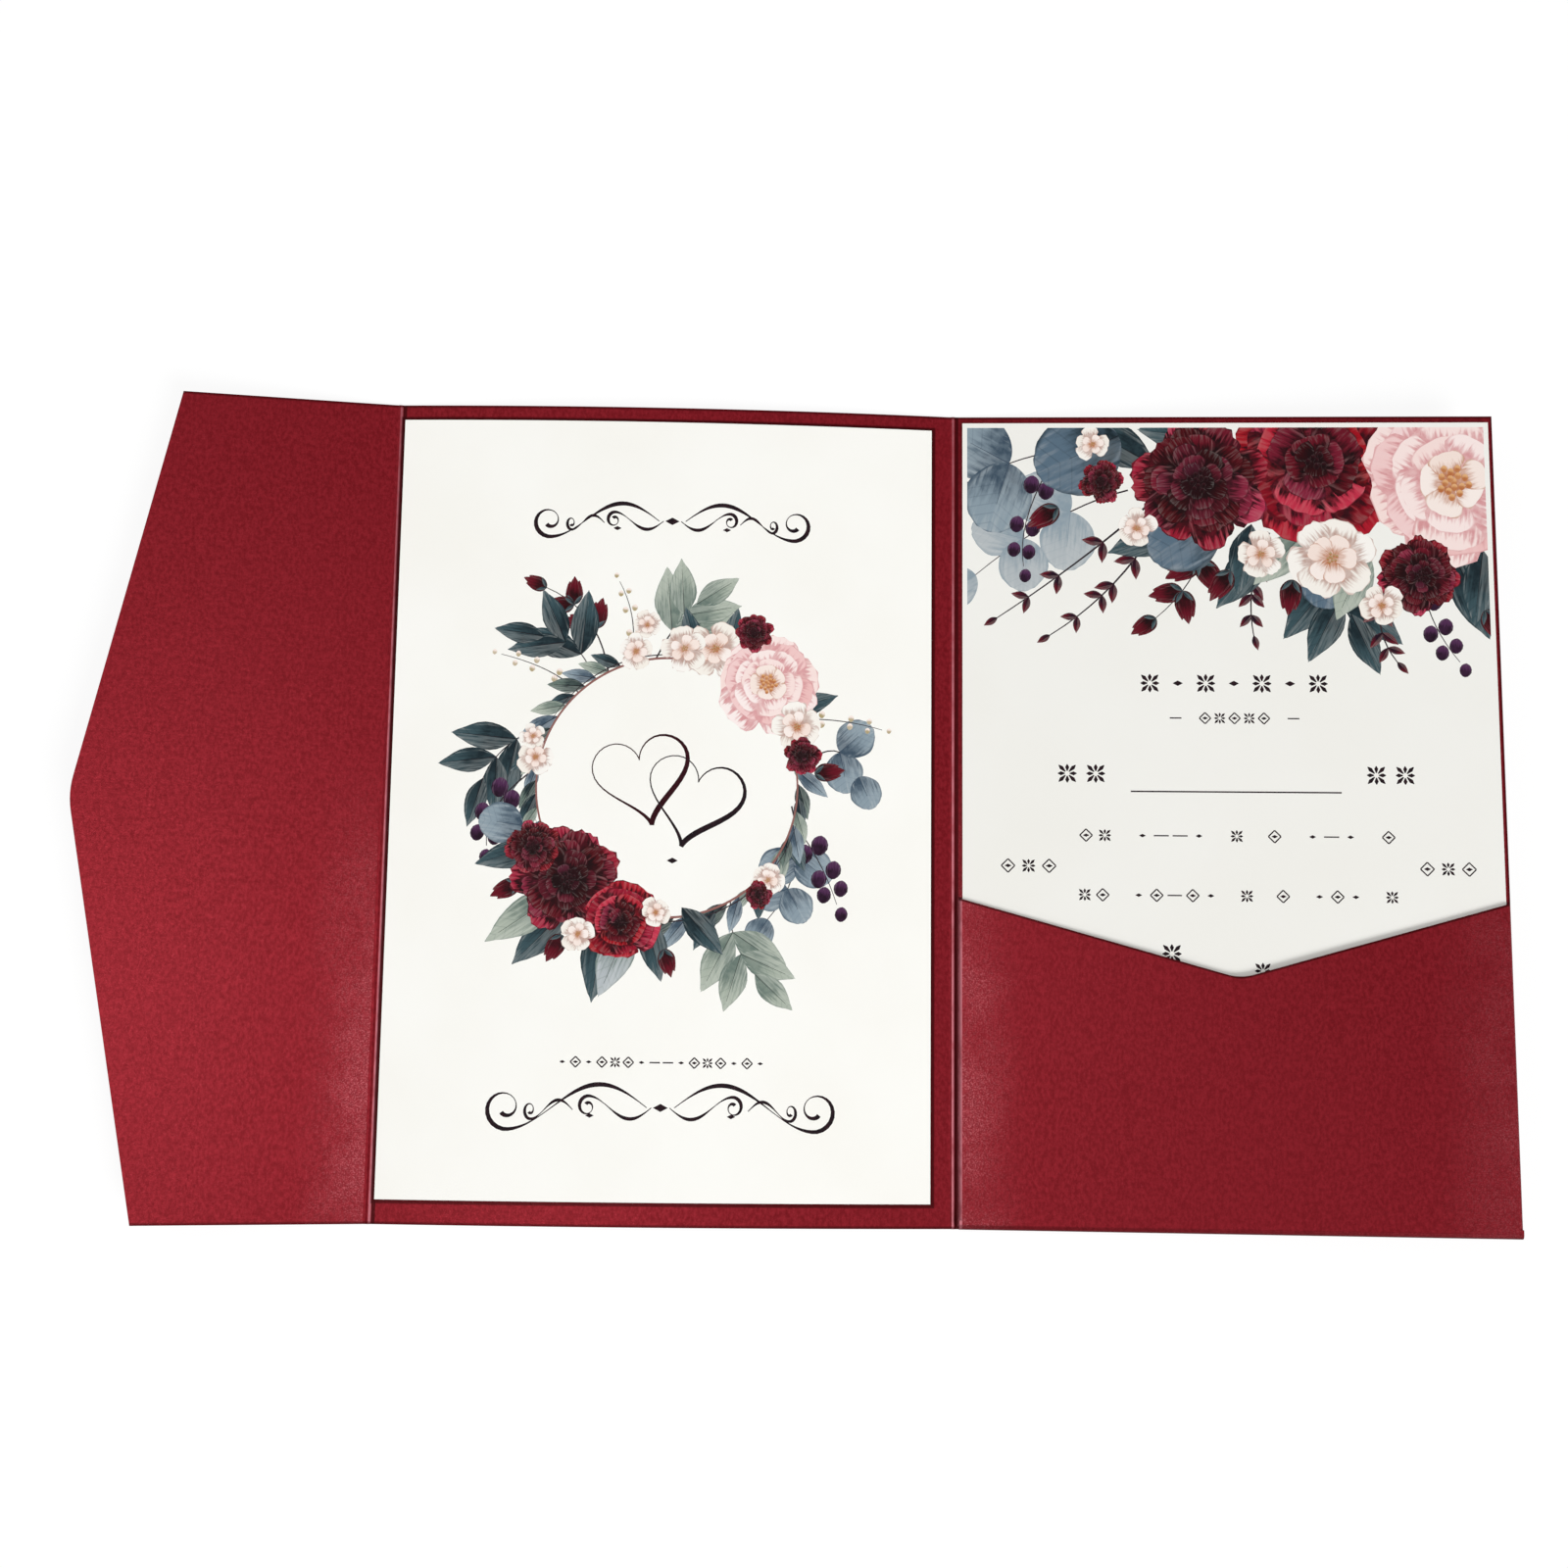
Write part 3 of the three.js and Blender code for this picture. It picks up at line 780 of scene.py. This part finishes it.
def wash_print(paper):
    """Watercolour fields: pigment runs from the base to the tip, pools at the rim and along veins."""
    finish = Finish("watercolour_print")
    uv = finish.node("ShaderNodeUVMap", uv_map="wash").outputs[0]
    split = finish.node("ShaderNodeSeparateXYZ")
    finish.join(uv, split.inputs[0])
    across = split.outputs[1]
    along = finish.math("MINIMUM", finish.math("MAXIMUM", split.outputs[0], 0.002), 0.998)
    deep, tint = finish.attribute("deep"), finish.attribute("tint")
    form = finish.node("ShaderNodeSeparateXYZ")
    finish.join(finish.attribute("form", "Vector"), form.inputs[0])
    widest, blunt, veined = form.outputs
    batch = finish.attribute("batch", "Fac")

    # How near a spot is to the rim of its shape
    swell = finish.math("SINE", finish.math("MULTIPLY", finish.math("POWER", along, widest), math.pi))
    half = finish.math("POWER", finish.math("MAXIMUM", swell, 0.001), blunt)
    side = finish.math("ABSOLUTE", across)
    towards_rim = finish.math("DIVIDE", side, half)

    # Pigment from the base to the tip
    streak_place = finish.node("ShaderNodeCombineXYZ")
    finish.join(finish.math("MULTIPLY", along, 1.6), streak_place.inputs[0])
    finish.join(finish.math("MULTIPLY", across, 5.0), streak_place.inputs[1])
    finish.join(batch, streak_place.inputs[2])
    streak = finish.noise(1.7, 3, streak_place.outputs[0], 0.55)
    pool = finish.noise(420, 3, roughness=0.6)
    run = finish.math("ADD", along, finish.math("MULTIPLY", finish.math("SUBTRACT", streak, 0.5), 0.7))
    begin = finish.attribute("fade", "Fac")
    end = finish.math("ADD", finish.math("MULTIPLY", begin, 0.35), 0.62)
    colour = finish.mix(finish.ramp(run, begin, end), deep, tint)

    # Glints, the lit curl inside the rim and the pool on it
    lift = finish.math("ADD", finish.math("MULTIPLY", veined, 0.13), 0.11)
    light = finish.mix(lift, tint, paper)
    glint = finish.ramp(finish.math("MULTIPLY", streak, along), 0.40, 0.58, 0.0, 0.55)
    colour = finish.mix(glint, colour, light)
    edge = finish.math("MAXIMUM", towards_rim, finish.math("POWER", along, 7.0))
    curl = finish.math("MULTIPLY", finish.ramp(edge, 0.62, 0.80), finish.ramp(edge, 0.86, 0.93, 1.0, 0.0))
    curl = finish.math("MULTIPLY", curl, finish.ramp(streak, 0.42, 0.62, 0.0, 0.5))
    colour = finish.mix(curl, colour, light)
    rim_start = finish.math("SUBTRACT", 0.86, finish.math("MULTIPLY", veined, 0.07))
    colour = finish.mix(finish.ramp(edge, rim_start, 1.0, 0.0, 0.78), colour, deep)

    # The side veins of a leaf and its lighter half
    slant = finish.math("SUBTRACT", finish.math("MULTIPLY", along, 7.0), finish.math("MULTIPLY", side, 1.6))
    rib = finish.math("ABSOLUTE", finish.math("SUBTRACT", finish.math("FRACT", slant), 0.5))
    veins = finish.math("MULTIPLY", finish.ramp(rib, 0.40, 0.5, 0.0, 0.35), veined)
    colour = finish.mix(veins, colour, deep)
    half_tone = finish.math("MULTIPLY", finish.ramp(across, -0.05, 0.05, 0.0, 0.4), veined)
    half_tone = finish.math("MULTIPLY", half_tone, finish.ramp(streak, 0.3, 0.6))
    colour = finish.mix(half_tone, colour, light)

    colour = finish.mix(finish.ramp(pool, 0.35, 0.7, 0.0, 0.35), colour, tint)
    paper_tooth(finish, 0.25)
    finish.set(Base_Color=colour, Roughness=0.65)
    finish.shader.inputs["Specular IOR Level"].default_value = 0.12
    return finish.material


def ink_print():
    finish = Finish("ink_print")
    uneven = finish.ramp(finish.noise(900, 2), 0.35, 0.7, 0.0, 0.07)
    colour = finish.mix(uneven, finish.attribute("deep"), (0.2, 0.05, 0.07, 1))
    paper_tooth(finish, 0.2)
    finish.set(Base_Color=colour, Roughness=0.65)
    finish.shader.inputs["Specular IOR Level"].default_value = 0.1
    return finish.material


def pearl_ground(finish, flake):
    """The dyed card itself: mottled, a little cloudy, with pink flakes."""
    mottle = finish.noise(1500, 3, roughness=0.62, stretch=(1.0, 0.6, 1.0))
    cloud = finish.noise(14, 2)
    colour = finish.mix(finish.ramp(mottle, 0.30, 0.70), PEARL_DARK, PEARL_LIGHT)
    colour = finish.mix(finish.ramp(cloud, 0.3, 0.7, 0.0, 0.25), colour, PEARL_CLOUD)
    return finish.mix(finish.ramp(flake, 0.60, 0.78, 0.0, 0.22), colour, PEARL_FLAKE)


def scored_lines(finish, x, wear, colour):
    """A pale worn line on the bead of each score, and a line of painted shade in the dip to the right of
    it.
    """
    for crease, worn_at, painted_shade_at in ((GUTTER_X, 0.0, 0.84), (LEFT_CREASE_X, 0.25, 1.02)):
        beyond = finish.math("SUBTRACT", x, crease * MM)
        worn = finish.math("MULTIPLY", finish.band(beyond, worn_at, 0.12, 0.38, 0.70), wear)
        colour = finish.mix(worn, colour, PEARL_WEAR_AND_HIGHLIGHT)
        # Painted shade in the dip beside the bead
        colour = finish.mix(finish.band(beyond, painted_shade_at, 0.36, 0.48, 0.88), colour, PEARL_PAINTED_SHADE)
    return colour


def painted_sheen_mask(finish, x, y, flake):
    """Where a sheen is painted pale pink over the shimmer: outward of both scores and along the right edge,
    mostly in the lower half."""
    painted_sheen = finish.ramp(x, 0.138, 0.158, 0.0, 0.55)
    for crease, side in ((GUTTER_X, 1.0), (LEFT_CREASE_X, -1.0)):
        outward = finish.math("MULTIPLY", finish.math("SUBTRACT", x, crease * MM), side)
        near = finish.ramp(outward, 0.0012, 0.0170, 1.0, 0.0)
        near = finish.math("MULTIPLY", near, finish.ramp(outward, 0.0011, 0.0013))
        painted_sheen = finish.math("ADD", painted_sheen, near)
    patches = finish.ramp(finish.noise(90, 2), 0.3, 0.65, 0.35, 1.0)
    lower_half = finish.ramp(y, -0.055, 0.015, 1.0, 0.0)
    flakes = finish.ramp(flake, 0.46, 0.66, 0.10, 0.75)
    for share in (patches, lower_half, flakes):
        painted_sheen = finish.math("MULTIPLY", painted_sheen, share)
    return painted_sheen


def below_mouth(finish, x, y):
    """How far a spot lies below the V of the pocket's mouth, in metres."""
    from_middle = finish.math("SUBTRACT", x, MOUTH_X * MM)
    spread = finish.math("MULTIPLY_ADD", from_middle, from_middle, (MOUTH_EASE * MM) ** 2)
    mouth = finish.math("MULTIPLY_ADD", finish.math("SQRT", spread), MOUTH_SLOPE, MOUTH_Y * MM)
    mouth = finish.math("MULTIPLY_ADD", from_middle, MOUTH_LEAN, mouth)
    return finish.math("SUBTRACT", mouth, y)


def painted_edge_shade(finish, x, y, in_pocket):
    """Where shade is painted on the sheet: a painted contact shadow round the card that is stuck on it, and
    painted shade along the pocket's mouth, on its top, bottom and right edges, and on the pocket's bottom
    fold."""
    low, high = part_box("main_card")
    beyond_side = finish.outside(x, low[0], high[0])
    beyond_end = finish.outside(y, low[1], high[1])
    mouth = finish.band(below_mouth(finish, x, y), 0.0, 0.34, 0.64, 0.85)
    painted_shade = finish.band(finish.math("MAXIMUM", beyond_side, beyond_end), 0.25, 0.45, 0.90, 0.85)
    for part in (
        finish.math("MULTIPLY", mouth, in_pocket),
        finish.band(finish.math("ABSOLUTE", y), HALF_HEIGHT, 0.34, 0.78, 0.70),
        finish.band(x, RIGHT_EDGE_X, 0.34, 0.64, 0.70),
        finish.math("MULTIPLY", finish.band(y, -HALF_HEIGHT, 0.9, 1.4, 0.5), in_pocket),
    ):
        painted_shade = finish.math("MAXIMUM", painted_shade, part)
    return painted_shade


def pearl_card():
    """Dyed pearl card with a fine pink shimmer, paler on its worn score lines, with a painted sheen, a
    painted highlight on the pocket's left fold, and painted shade at its edges and round the stuck card.
    """
    finish = Finish("pearl_card")
    split = finish.node("ShaderNodeSeparateXYZ")
    finish.join(finish.place, split.inputs[0])
    x, y = split.outputs[0], split.outputs[1]
    facing = finish.node("ShaderNodeSeparateXYZ")
    finish.join(finish.node("ShaderNodeTexCoord").outputs["Normal"], facing.inputs[0])
    upper_side = finish.ramp(facing.outputs[2], -0.4, -0.1)
    in_pocket = finish.ramp(x, POCKET_LEFT_X * MM, (POCKET_LEFT_X + 0.15) * MM)
    below_side = finish.ramp(y, -0.0202, -0.0197, 1.0, 0.0)
    flake = finish.noise(3200, 2, roughness=0.7)
    wear = finish.ramp(finish.noise(260, 3), 0.25, 0.62, 0.5, 1.0)
    wear = finish.math("MULTIPLY", wear, finish.ramp(y, 0.0, 0.085, 1.0, 0.6))

    colour = scored_lines(finish, x, wear, pearl_ground(finish, flake))
    # Painted sheen outward of the scores and along the right edge, upper side only
    painted_sheen = finish.math("MULTIPLY", painted_sheen_mask(finish, x, y, flake), upper_side)
    colour = finish.mix(painted_sheen, colour, PEARL_PAINTED_SHEEN)
    # Painted highlight along the rounded left fold of the pocket
    pocket_fold_highlight = finish.band(x, POCKET_LEFT_X + 0.35, 0.20, 0.38, 0.84)
    for share in (below_side, wear, upper_side):
        pocket_fold_highlight = finish.math("MULTIPLY", pocket_fold_highlight, share)
    colour = finish.mix(pocket_fold_highlight, colour, PEARL_WEAR_AND_HIGHLIGHT)
    # Painted shade round the stuck card, along the mouth, on the edges and on the bottom fold, upper side
    # only
    painted_shade = finish.math("MULTIPLY", painted_edge_shade(finish, x, y, in_pocket), upper_side)
    colour = finish.mix(painted_shade, colour, PEARL_PAINTED_SHADE)

    finish.set(Base_Color=colour, Roughness=finish.ramp(flake, 0.3, 0.8, 0.44, 0.32))
    finish.shader.inputs["Metallic"].default_value = 0.32
    finish.shader.inputs["Specular IOR Level"].default_value = 0.08
    fibre = finish.noise(520, 3, stretch=(1.0, 2.6, 1.0))
    finish.bump(finish.math("ADD", flake, finish.math("MULTIPLY", fibre, 1.2)), 0.5, 0.00006)
    return finish.material


def tape():
    finish = Finish("tape_film")
    streak = finish.noise(300, 2, stretch=(1.0, 0.2, 1.0))
    finish.set(Base_Color=finish.mix(streak, TAPE_DULL, TAPE_CLEAR), Roughness=0.4)
    return finish.material


def dress_node(name, material):
    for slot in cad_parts[name].material_slots:
        slot.material = material


def main_card_place():
    low, high = (Vector(corner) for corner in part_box("main_card"))

    def place(x, y, down):
        across = low.x + x * MM
        share = (GUTTER_X * MM - across) / (CENTRE_WIDTH * MM)
        drop = ARCH_RISE * MM * (1 - 4 * share * (1 - share))
        return across, low.y + y * MM, high.z - drop - down * MAIN_CARD_THICKNESS * MM

    return place, (high.x - low.x) / MM, (high.y - low.y) / MM


def insert_place():
    low, high = (Vector(corner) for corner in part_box("insert_card"))
    cos, sin = math.cos(PANEL_ANGLE), math.sin(PANEL_ANGLE)
    width = ((high.x - low.x) / MM - INSERT_THICKNESS * sin) / cos
    start_z = high.z - width * sin * MM

    def place(x, y, down):
        deep = down * INSERT_THICKNESS
        return low.x + (x * cos + deep * sin) * MM, low.y + y * MM, start_z + (x * sin - deep * cos) * MM

    return place, width, (high.y - low.y) / MM


def dress_invitation():
    dress_node("folder", pearl_card())
    film = tape()
    for side in ("left", "right", "bottom", "top"):
        dress_node("adhesive_strip_" + side, film)
    ink = ink_print()
    place, width, height = main_card_place()
    slots = [card_paper("cream_card", CREAM, CREAM_SHADE), wash_print(CREAM), ink]
    main = printed_card("printed_main_card", main_card_page(width, height), place, "main_card", slots)
    place, width, height = insert_place()
    slots = [card_paper("white_card", PLAIN_WHITE, PLAIN_WHITE_SHADE), wash_print(PLAIN_WHITE), ink]
    insert = printed_card("printed_insert_card", insert_page(width, height), place, "insert_card", slots)


def camera():
    data = bpy.data.cameras.new("camera")
    data.sensor_width = 36
    data.lens = 40.5
    eye = bpy.data.objects.new("camera", data)
    place = Vector((-0.01385, -0.04396, 0.39674))
    target = Vector((-0.00267, 0.00575, 0.0))
    roll = math.radians(-0.707)
    eye.location = place
    turn = (target - place).to_track_quat("-Z", "Y").to_matrix()
    forward = (target - place).normalized()
    side = forward.cross(Vector((0, 1, 0))).normalized()
    up = side.cross(forward)
    rolled = up * math.cos(roll) + side * math.sin(roll)
    turn.col[0] = forward.cross(rolled)
    turn.col[1] = rolled
    turn.col[2] = -forward
    eye.rotation_euler = turn.to_euler()
    bpy.context.scene.collection.objects.link(eye)
    bpy.context.scene.camera = eye


def lamp(name, place, target, size, power):
    data = bpy.data.lights.new(name, "AREA")
    data.shape = "DISK"
    data.size = size
    data.energy = power
    light = bpy.data.objects.new(name, data)
    light.location = place
    light.rotation_euler = (Vector(target) - Vector(place)).to_track_quat("-Z", "Y").to_euler()
    bpy.context.scene.collection.objects.link(light)


def pale_floor():
    """A matt floor that camera, mirror and glass rays see as nearly white, and that keeps its shadows."""
    finish = Finish("pale_floor")
    finish.set(Base_Color=(0.92, 0.92, 0.92, 1), Roughness=0.9)
    path = finish.node("ShaderNodeLightPath")
    glow = finish.node("ShaderNodeEmission")
    glow.inputs["Color"].default_value = WHITE
    glow.inputs["Strength"].default_value = 1.03
    seen = finish.math("MAXIMUM", path.outputs["Is Camera Ray"], path.outputs["Is Glossy Ray"])
    seen = finish.math("MAXIMUM", seen, path.outputs["Is Transmission Ray"])
    blend = finish.node("ShaderNodeMixShader")
    finish.join(finish.math("MULTIPLY", seen, 0.84), blend.inputs[0])
    finish.join(finish.shader.outputs[0], blend.inputs[1])
    finish.join(glow.outputs[0], blend.inputs[2])
    finish.join(blend.outputs[0], finish.tree.nodes["Material Output"].inputs[0])
    return finish.material


def studio_world():
    """An even dim sky that the camera itself sees as white."""
    dim = 0.26
    world = bpy.data.worlds.new("studio")
    world.use_nodes = True
    tree = world.node_tree
    background = tree.nodes["Background"]
    background.inputs["Color"].default_value = WHITE
    rays = tree.nodes.new("ShaderNodeLightPath")
    seen = tree.nodes.new("ShaderNodeMapRange")
    seen.inputs["To Min"].default_value = dim
    tree.links.new(rays.outputs["Is Camera Ray"], seen.inputs["Value"])
    tree.links.new(seen.outputs[0], background.inputs["Strength"])
    bpy.context.scene.world = world


def studio():
    half = 3.0
    corners = [(-half, -half, 0), (half, -half, 0), (half, half, 0), (-half, half, 0)]
    mesh = bpy.data.meshes.new("floor")
    mesh.from_pydata(corners, [], [(0, 1, 2, 3)])
    mesh.materials.append(pale_floor())
    floor = bpy.data.objects.new("floor", mesh)
    bpy.context.scene.collection.objects.link(floor)
    studio_world()
    lamp("key", (2.02, -2.43, 2.57), (0, 0, 0), 2.0, 117)
    lamp("overhead", (-0.24, -0.06, 1.2), (-0.1, 0, 0), 0.25, 3.9)
    lamp("fill", (-1.1, 0.5, 1.0), (0, 0, 0), 0.9, 3.0)
    bpy.context.scene.view_settings.view_transform = "Standard"


camera()
dress_invitation()
studio()
